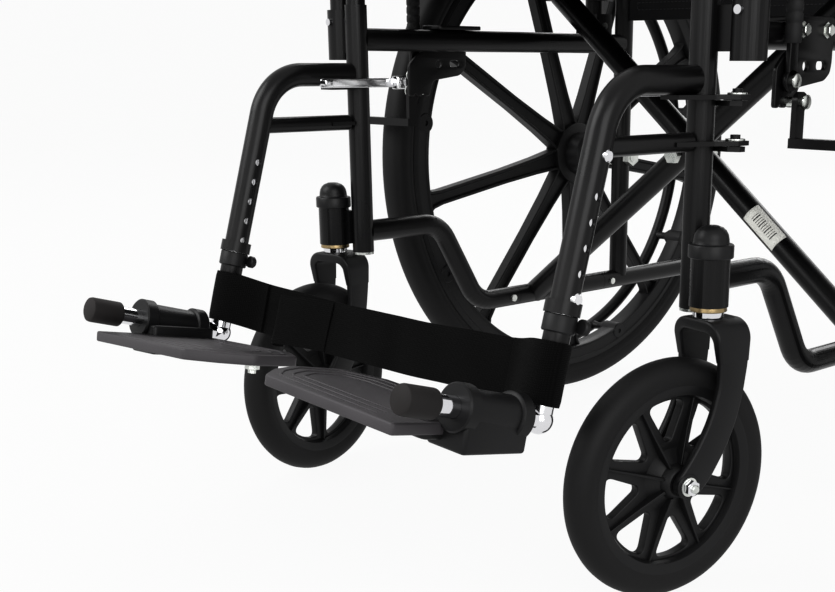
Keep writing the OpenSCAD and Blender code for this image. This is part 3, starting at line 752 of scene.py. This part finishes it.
def makeClamp(side):
    pivot = onSlope(0)
    along = (onSlope(10) - pivot).normalized()
    ring = [(0.0097, -0.0138), (0.0120, -0.0138), (0.0128, -0.0128), (0.0128, -0.0010), (0.0124, -0.0002),
            (0.0097, -0.0002)]
    sleeve = [(0.0097, -0.0300), (0.0102, -0.0300), (0.0105, -0.0294), (0.0105, -0.0136), (0.0097, -0.0136)]
    parts = [lathe("ring", ring, pivot, along, plastic, 64), lathe("tubeEnd", sleeve, pivot, along,
            paint, 64)]
    rear = Vector((0, math.sin(slope), -math.cos(slope)))
    screw = pivot - along * 0.0065
    for reach, size in ((0.0135, 0.0052), (-0.0135, 0.0046)):
        lobe = [(0, -0.0030), (size, -0.0030), (size + 0.0010, -0.0018), (size + 0.0010, 0.0018),
                (size, 0.0030), (0, 0.0030)]
        place = screw + rear * 0.0115 + Vector((reach, 0, 0))
        parts.append(lathe("lobe", lobe, place, rear, plastic, 32, closed=False))
    parts.append(sweep("stem", [screw + rear * d for d in (0.010, 0.0145)], 0.0052, plastic, 16))
    clamp = joinPieces(side + "HeightClamp", parts)
    settle(clamp, side, "hanger", "black_plastic", "height_clamp")


strap = {"half": 0.0235, "thick": 0.0023, "gap": 0.0118, "bow": 0.006, "droop": 0.006, "sink": 0.004,
         "join": 0.052, "lap": 0.066, "fold": 0.070, "base": -40.5}


def strapPoint(x, bend):
    s = strap
    free = max(0.0, 1 - (x / sideX) ** 2) if abs(x) < sideX else 0
    return x, bend + s["bow"] * free, -s["sink"] - s["droop"] * free


# a band on edge along a path of (x, depth, height), with woven ripples
def ribbon(name, path, half, thick, material, rows=10, ripple=0.0):
    u = Vector((0, math.cos(slope), math.sin(slope)))
    n = Vector((0, math.sin(slope), -math.cos(slope)))
    base = onSlope(strap["base"], 0)
    flat = [Vector((x, d)) for x, d, low in path]
    verts, faces = [], []
    for i, (x, d, low) in enumerate(path):
        way = (flat[min(i + 1, len(flat) - 1)] - flat[max(i - 1, 0)]).normalized()
        normal = Vector((-way.y, way.x))
        for face in (1, -1):
            for k in range(rows + 1):
                t = -1 + 2 * k / rows
                slim = 0.55 if k in (0, rows) else 1.0
                wave = ripple * math.sin(x * 95 + t * 1.3) + ripple * 0.6 * math.sin(x * 41 + 2 + t * 2.1)
                skin = Vector((x, d + wave)) + normal * face * thick / 2 * slim
                edge = half * t * (1 + 0.012 * math.sin(x * 60 + t))
                verts.append(base + Vector((skin.x, 0, 0)) + n * skin.y + u * (edge + low))
    ring = 2 * (rows + 1)
    for i in range(len(path) - 1):
        a, b = i * ring, (i + 1) * ring
        for k in range(rows):
            faces.append((a + k, a + k + 1, b + k + 1, b + k))
            faces.append((a + rows + 1 + k, b + rows + 1 + k, b + rows + 2 + k, a + rows + 2 + k))
        faces.append((a, b, b + rows + 1, a + rows + 1))
        faces.append((a + rows, a + 2 * rows + 1, b + 2 * rows + 1, b + rows))
    for a in (0, (len(path) - 1) * ring):
        faces += [(a + k, a + k + 1, a + rows + 2 + k, a + rows + 1 + k) for k in range(rows)]
    return addMesh(name, verts, faces, material)


def makeStrap(side):
    s = strap
    gap = s["gap"]
    layer = s["thick"] + 0.0004
    start = -s["lap"] if side == "left" else 0.0003  # the left half laps over the right one
    path = []
    for k in range(51):
        x, d, low = strapPoint(start + (sideX - start) * k / 50, gap)
        over = 0.5 - 0.5 * math.cos(math.pi * min(1, max(0, (0.030 - x) / 0.028))) if side == "left" else 0
        path.append((x, d - layer * over, low))
    for k in range(1, 24):
        angle = math.pi / 2 - math.pi * k / 24
        path.append((sideX + gap * math.cos(angle) * 1.05, gap * math.sin(angle), -s["sink"]))
    path.append((sideX, -gap, -s["sink"]))
    for k in range(1, 13):
        t = k / 12
        ease = t * t * (3 - 2 * t)
        x = sideX - s["join"] * t
        path.append((x, -gap + (strapPoint(x, gap)[1] + gap - layer) * ease,
                     -s["sink"] + (strapPoint(x, gap)[2] + s["sink"]) * ease))
    band = ribbon(side + "HeelStrap", path, s["half"], s["thick"], webbing, ripple=0.0004)
    settle(band, side, "hanger", "strap_webbing", "heel_strap")
    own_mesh(band)
    if side == "right":  # the spare end, folded back beside the lap
        path = []
        for k in range(21):
            t = k / 20
            x, d, low = strapPoint(s["lap"] + 0.001 + s["fold"] * t, gap)
            path.append((x, d - layer * (1.6 + 1.5 * math.sin(math.pi * min(1, t * 1.4) / 2)),
                         low - 0.0055 * t))
        x, d, low = path[-1]
        for k in range(1, 13):
            angle = math.pi * k / 12
            path.append((x + 0.0050 * math.sin(angle), d + 0.0038 * (1 - math.cos(angle)) / 2 * 1.05,
                         low - 0.0002 * k))
        x, d, low = path[-1]
        path += [(x - 0.0016 * k, d, low + 0.0002 * k) for k in range(1, 7)]
        fold = ribbon("rightStrapFold", path, s["half"] * 0.98, s["thick"] * 0.8, webbing, ripple=0.0003)
        settle(fold, side, "hanger", "strap_webbing")
        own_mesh(fold)


for side in sides:
    makeFootplate(side)
    makeClamp(side)
    makeStrap(side)
print("footrests ready")

seat = {"rear": 358, "front": -24, "level": 0.5115, "sag": 0.009, "thick": 0.0030, "reach": 0.2036}
back = {"reach": 0.2072, "low": 0.472, "tall": 0.404, "depth": 409, "sag": 0.012}
slingCells = (40, 36)


# a thin sheet over a surface given by point(a, b), with a and b from 0 to 1
def wovenSheet(name, cells, point, thick, material):
    verts, faces = [], []
    across, down = cells
    for face in (0, 1):
        for i in range(across + 1):
            for k in range(down + 1):
                a, b = i / across, k / down
                here = point(a, b)
                du = point(min(a + 0.01, 1.0), b) - point(max(a - 0.01, 0.0), b)
                dv = point(a, min(b + 0.01, 1.0)) - point(a, max(b - 0.01, 0.0))
                normal = du.cross(dv).normalized()
                verts.append(here + normal * (thick / 2 if face == 0 else -thick / 2))
    row = down + 1
    other = (across + 1) * row
    for i in range(across):
        for k in range(down):
            a = i * row + k
            faces.append((a, a + 1, a + row + 1, a + row))
            b = a + other
            faces.append((b, b + row, b + row + 1, b + 1))
    rim = [i * row for i in range(across + 1)]
    edges = [(rim[i], rim[i + 1]) for i in range(across)]
    edges += [(across * row + k, across * row + k + 1) for k in range(down)]
    edges += [((i + 1) * row + down, i * row + down) for i in range(across)]
    edges += [(k + 1, k) for k in range(down)]
    faces += [(a, b, b + other, a + other) for a, b in edges]
    return addMesh(name, verts, faces, material)


def seatPoint(a, b):
    x = (a - 0.5) * 2 * seat["reach"]
    y = spot(0, seat["front"] + (seat["rear"] - seat["front"]) * b, 0).y
    hollow = (1 - (2 * a - 1) ** 2) * (0.75 + 0.25 * math.sin(math.pi * b))
    wrinkle = 0.0007 * math.sin(38 * a + 5 * b) * math.sin(9 * b + 2) * hollow
    return Vector((x, y, seat["level"] - seat["sag"] * hollow + wrinkle))


def backPoint(a, b):
    x = (a - 0.5) * 2 * back["reach"]
    hollow = (1 - (2 * a - 1) ** 2) * (0.7 + 0.3 * math.sin(math.pi * b))
    wrinkle = 0.0008 * math.sin(31 * a + 7 * b + 1) * math.sin(7 * b) * hollow
    y = spot(0, back["depth"], 0).y
    return Vector((x, y + back["sag"] * hollow + wrinkle, back["low"] + back["tall"] * b))


def edgeStitch(name, start, end, point, lift, material, step=0.0052):
    count = max(2, int((point(*end) - point(*start)).length / step))
    parts = []
    for k in range(count):
        t0, t1 = (k + 0.15) / count, (k + 0.75) / count
        a = point(start[0] + (end[0] - start[0]) * t0, start[1] + (end[1] - start[1]) * t0) + lift
        b = point(start[0] + (end[0] - start[0]) * t1, start[1] + (end[1] - start[1]) * t1) + lift
        parts.append(sweep("stitch", [a, (a + b) / 2 + lift * 0.12, b], 0.00045, material, 5,
                           up=(0.3, 0.2, 0.9)))
    return joinPieces(name, parts)


def makeSeat():
    sling = wovenSheet("seatSling", slingCells, seatPoint, seat["thick"], seatNylon)
    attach(sling, "right_seat")
    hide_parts("seat_sling")
    pieces = [sling]
    up = Vector((0, 0, 0.0017))
    for index, (start, end) in enumerate((((0.035, 0.03), (0.035, 0.97)), ((0.965, 0.03), (0.965, 0.97)),
                                          ((0.03, 0.045), (0.97, 0.045)), ((0.03, 0.955), (0.97, 0.955)))):
        line = edgeStitch("seatStitch" + str(index), start, end, seatPoint, up, thread)
        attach(line, "right_seat")
        pieces.append(line)
    backSling = wovenSheet("backSling", slingCells, backPoint, seat["thick"], seatNylon)
    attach(backSling, "right_side")
    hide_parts("back_sling")
    others = []
    out = Vector((0, -0.0017, 0))
    for index, (start, end) in enumerate((((0.03, 0.03), (0.97, 0.03)), ((0.03, 0.05), (0.97, 0.05)),
                                          ((0.03, 0.965), (0.97, 0.965)), ((0.03, 0.03), (0.03, 0.965)),
                                          ((0.97, 0.03), (0.97, 0.965)))):
        line = edgeStitch("backStitch" + str(index), start, end, backPoint, out, thread)
        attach(line, "right_side")
        others.append(line)
    for piece in pieces + others:
        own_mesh(piece)


thread = grained("thread", (0.012, 0.012, 0.013), (0.03, 0.03, 0.032), (0.6, 0.8), 2000, 0.0001)


pad = {"x": 255, "front": 30, "rear": 340, "half": 0.0181, "steps": 20}


def makePad(side):
    front, rear = spot(0, pad["front"], 0).y, spot(0, pad["rear"], 0).y
    outline = []
    for isRear in (1, 0):
        for k in range(pad["steps"] + 1):
            angle = math.pi * (1 - isRear) + math.pi * k / pad["steps"]
            outline.append((math.cos(angle), math.sin(angle), isRear))
    # each level's height, and how far it swells
    levels = [(0.708, 0.8), (0.708, 0.95), (0.7095, 1.0), (0.712, 1.02), (0.720, 1.03), (0.728, 1.0),
              (0.7335, 0.92), (0.7365, 0.78), (0.7378, 0.58), (0.7382, 0.30)]
    verts, faces = [], []
    count = len(outline)
    for level, grow in levels:
        for c, d, isRear in outline:
            bulge = pad["half"] * grow
            verts.append(Vector((pad["x"] / 1000 + c * bulge, (rear if isRear else front) + d * bulge,
                                 level)))
    for j in range(len(levels) - 1):
        for k in range(count):
            m = (k + 1) % count
            faces.append((j * count + k, j * count + m, (j + 1) * count + m, (j + 1) * count + k))
    faces += [tuple(range(count)), tuple(range((len(levels) - 1) * count, len(levels) * count))]
    made = addMesh(side + "ArmPad", verts, faces, padVinyl)
    settle(made, side, "arm", "pad_vinyl", "arm_pad")


def makeGrip(side):
    start = spot(219, 462, 925)
    shape = [(0.0112, 0.0), (0.0158, 0.0), (0.0167, 0.0012), (0.0168, 0.0040), (0.0165, 0.0058),
             (0.0156, 0.0072)]
    for k in range(13):
        base = 0.012 + 0.0060 * k
        shape += [(0.0152, base), (0.0141, base + 0.0012), (0.0141, base + 0.0026), (0.0152, base + 0.0040)]
    shape += [(0.0154, 0.094), (0.0154, 0.0990), (0.0144, 0.1045), (0.0118, 0.1082), (0.0070, 0.1102),
              (0, 0.1106), (0, 0.0890), (0.0112, 0.0890)]
    grip = lathe(side + "PushGrip", shape, start, (0, 1, 0), gripVinyl, 64)
    settle(grip, side, "side", "grip_vinyl", "push_grip")


panel = {"x": 0.255, "thick": 0.0030, "corner": 0.014,
         "outline": [(21, 521), (385, 521), (385, 640), (357, 682), (50, 682), (21, 640)],
         "bead": [(42, 540), (364, 540), (364, 634), (346, 662), (60, 662), (42, 636)],
         "screws": [(30, 545), (30, 650), (376, 545), (376, 622)]}


def makePanel(side):
    p = panel
    loop, inner = (roundedLoop([(y / 1000, z / 1000) for y, z in p[key]], p["corner"], 6)
                   for key in ("outline", "bead"))
    place = wheelPlane((p["x"], frontPost, 0))
    parts = [flatPart("panel", [loop], p["thick"], 0.0012, place, plastic)]
    line = [place @ Vector((a.x, a.y, 0)) for a in inner]
    for face in (-1, 1):
        ring = [p + Vector((face * 0.0013, 0, 0)) for p in line] + [line[0] + Vector((face * 0.0013, 0, 0))]
        parts.append(sweep("bead", ring, 0.0016, plastic, 8, flat=0.6))
    made = joinPieces(side + "SidePanel", parts)
    settle(made, side, "arm", "black_plastic", "side_panel")
    head = [(0, 0), (0.0042, 0), (0.0040, 0.0010), (0.0028, 0.0019), (0, 0.0022)]
    for y, z in p["screws"]:
        name = side + "PanelScrew" + str(y) + "x" + str(z)
        screw = lathe(name, head, spot(256.5, y, z), (1, 0, 0), zinc, 24, closed=False)
        settle(screw, side, "arm", "zinc_steel")


makeSeat()
for side in sides:
    makePad(side)
    makeGrip(side)
    makePanel(side)
print("seat, back and arms ready")


def makeBracket(side):
    parts = []
    teeth = [(78, 388), (84, 388), (86, 391), (89, 388), (95, 388), (97, 391), (100, 388), (106, 388),
             (109, 396)]
    rest = [(112, 404), (150, 409), (158, 415), (160, 424), (160, 461), (100, 461), (100, 436),
            (90, 431), (78, 420)]
    loop = roundedLoop([(y / 1000, z / 1000) for y, z in teeth + rest], 0.003, 3)
    hole = circleLoop(0.0042, 28, (0.120, 0.421))
    slot = roundedLoop([(0.136, 0.418), (0.150, 0.418), (0.150, 0.425), (0.136, 0.425)], 0.0034, 4)
    parts.append(flatPart("face", [loop, hole, slot], 0.0040, 0.0009,
                          wheelPlane((0.2323, frontPost, 0)), paint))
    top = roundedLoop([(0.2046, 0.100), (0.2343, 0.100), (0.2343, 0.160), (0.2046, 0.160)], 0.004, 3)
    parts.append(flatPart("top", [top], 0.0040, 0.0009, Matrix.Translation((0, frontPost, 0.4583)), paint))
    made = joinPieces(side + "BrakeBracket", parts)
    settle(made, side, "side", "frame_paint", "brake_bracket")
    small = [("LeverPin", spot(231, 92, 409.5), 0.0039, 0.0140),
             ("ShoePin", spot(231, 96, 393), 0.0039, 0.0220)]
    for name, place, radius, reach in small:
        shape = [(0, 0), (radius, 0), (radius, reach - 0.0008), (0.0058, reach - 0.0006),
                 (0.0058, reach + 0.0008), (0.0040, reach + 0.0020), (0, reach + 0.0022)]
        settle(lathe(side + name, shape, place, (1, 0, 0), zinc, 32, closed=False), side, "side",
               "zinc_steel")
    for y, z in ((112, 450), (148, 450)):
        washer = [(0, 0), (0.0068, 0), (0.0068, 0.0011), (0.0050, 0.0012), (0.0050, 0.0052),
                  (0.0044, 0.0058), (0, 0.0058)]
        settle(lathe(side + "BracketBolt" + str(y), washer, spot(234.4, y, z), (1, 0, 0), zinc, 6,
                     closed=False), side, "side", "zinc_steel")


def makeBrakeLever(side):
    x, y = 238.8, 92
    boss = [(0.00402, -0.0024), (0.0086, -0.0024), (0.0092, -0.0016), (0.0092, 0.0016), (0.0086, 0.0024),
            (0.00402, 0.0024)]
    parts = [lathe("boss", boss, spot(x, y, 409.5), (1, 0, 0), paint, 48)]
    bladeLoop = roundedLoop([(0.086, 0.413), (0.098, 0.413), (0.0975, 0.447), (0.0865, 0.447)], 0.002, 3)
    parts.append(flatPart("blade", [bladeLoop], 0.0048, 0.0010,
                          wheelPlane((x / 1000, frontPost, 0)), paint))
    lever = joinPieces(side + "BrakeLever", parts)
    settle(lever, side, "lock_lever", "frame_paint", "brake_lever")
    shape = [(0, 0.0), (0.0062, 0.0), (0.0069, 0.0012), (0.0072, 0.0060)]
    for k in range(9):
        base = 0.014 + 0.0085 * k
        shape += [(0.0072, base), (0.0066, base + 0.0010), (0.0066, base + 0.0022), (0.0072, base + 0.0032)]
    shape += [(0.0072, 0.0960), (0.0066, 0.0990), (0.0048, 0.1010), (0.0024, 0.1020), (0, 0.1022)]
    grip = lathe(side + "BrakeGrip", shape, spot(x, y, 439), (0, 0, 1), gripVinyl, 48, closed=False)
    settle(grip, side, "lock_lever", "frame_paint")


def makeLatch(side):
    parts = []
    bladeLoop = roundedLoop([(-0.062, 0.3985), (0.034, 0.3985), (0.034, 0.4075), (-0.062, 0.4075)],
                            0.003, 4)
    parts.append(flatPart("blade", [bladeLoop], 0.0026, 0.0007, wheelPlane((0.1990, frontPost, 0)), chrome))
    tongue = roundedLoop([(0.189, 0.0280), (0.2003, 0.0280), (0.2003, 0.0400), (0.189, 0.0400)], 0.003, 4)
    parts.append(flatPart("tongue", [tongue], 0.0130, 0.0014, Matrix.Translation((0, frontPost, 0.4030)),
                          chrome))
    tip = roundedLoop([(0.189, -0.062), (0.2000, -0.062), (0.2000, -0.0525), (0.189, -0.0525)], 0.002, 4)
    parts.append(flatPart("tip", [tip], 0.0050, 0.0010, Matrix.Translation((0, frontPost, 0.4035)), chrome))
    latch = joinPieces(side + "LatchLever", parts)
    settle(latch, side, "latch", "chrome_tube", "latch_lever")


def makeHangerBits(side):
    heads = {"HeightBolt": [(0, -0.0010), (0.0052, -0.0010), (0.0052, 0.0016), (0.0044, 0.0024),
                            (0, 0.0026)], "HangerBolt": [(0, -0.0012), (0.0046, -0.0012), (0.0046, 0.0012),
                                                         (0.0036, 0.0024), (0, 0.0030)]}
    places = {"HeightBolt": onSlope(12, 230.1), "HangerBolt": onSlope(118, 230.3)}
    for name, head in heads.items():
        bolt = lathe(side + name, head, places[name], (1, 0, 0), chrome, 32, closed=False)
        settle(bolt, side, "hanger", "zinc_steel")
    washer = [(0.0041, 0), (0.0078, 0), (0.0080, 0.0005), (0.0078, 0.0014), (0.0041, 0.0014)]
    for z in (365, 400):
        made = lathe(side + "PinWasher" + str(z), washer, spot(243, 14, z), (0, 0, 1), zinc, 32)
        settle(made, side, "side", "zinc_steel")


label = {"along": 0.163, "radius": 0.01276, "bars": 11, "barGap": 0.0030}


# a plain sticker with bars and no lettering, wrapped round one cross tube
def makeLabel():
    low, high = spot(219, 288, 156), spot(-219, 288, 505)
    along = (high - low).normalized()
    front = Vector((0, -1, 0))
    above = front.cross(along).normalized()
    if above.z < 0:
        above = -above
    centre = low + along * label["along"]
    radius = label["radius"]
    verts, faces = [], []
    for i in range(13):
        for k in range(9):
            turn = math.radians(-28 + 13 * k)
            out = front * math.cos(turn) + above * math.sin(turn)
            verts.append(centre + along * (-0.024 + 0.048 * i / 12) + out * radius)
    for i in range(12):
        for k in range(8):
            faces.append((i * 9 + k, i * 9 + k + 1, (i + 1) * 9 + k + 1, (i + 1) * 9 + k))
    sticker = newMaterial("labelPaper", (0.72, 0.72, 0.68), 0.6)
    ink = newMaterial("labelInk", (0.03, 0.03, 0.03), 0.6)
    made = addMesh("armLabel", verts, faces, sticker)
    made.data.materials.append(ink)
    solid = made.modifiers.new("thickness", "SOLIDIFY")
    solid.thickness = 0.0003
    solid.offset = 1
    parts = [made]
    for k in range(label["bars"]):
        shift = -0.015 + label["barGap"] * k
        wide = 0.0006 if k % 3 else 0.0012
        strip = []
        for a in (shift, shift + wide):
            for j in range(6):
                turn = math.radians(6 + 44 * j / 5)
                out = front * math.cos(turn) + above * math.sin(turn)
                strip.append(centre + along * a + out * (radius + 0.00045))
        parts.append(addMesh("bar", strip, [(j, j + 1, j + 7, j + 6) for j in range(5)], ink))
    made = joinPieces("armLabel", parts)
    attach(made, "cross_b")


for side in sides:
    makeBracket(side)
    makeBrakeLever(side)
    makeLatch(side)
    makeHangerBits(side)
makeLabel()
print("locks, latches and small parts ready")
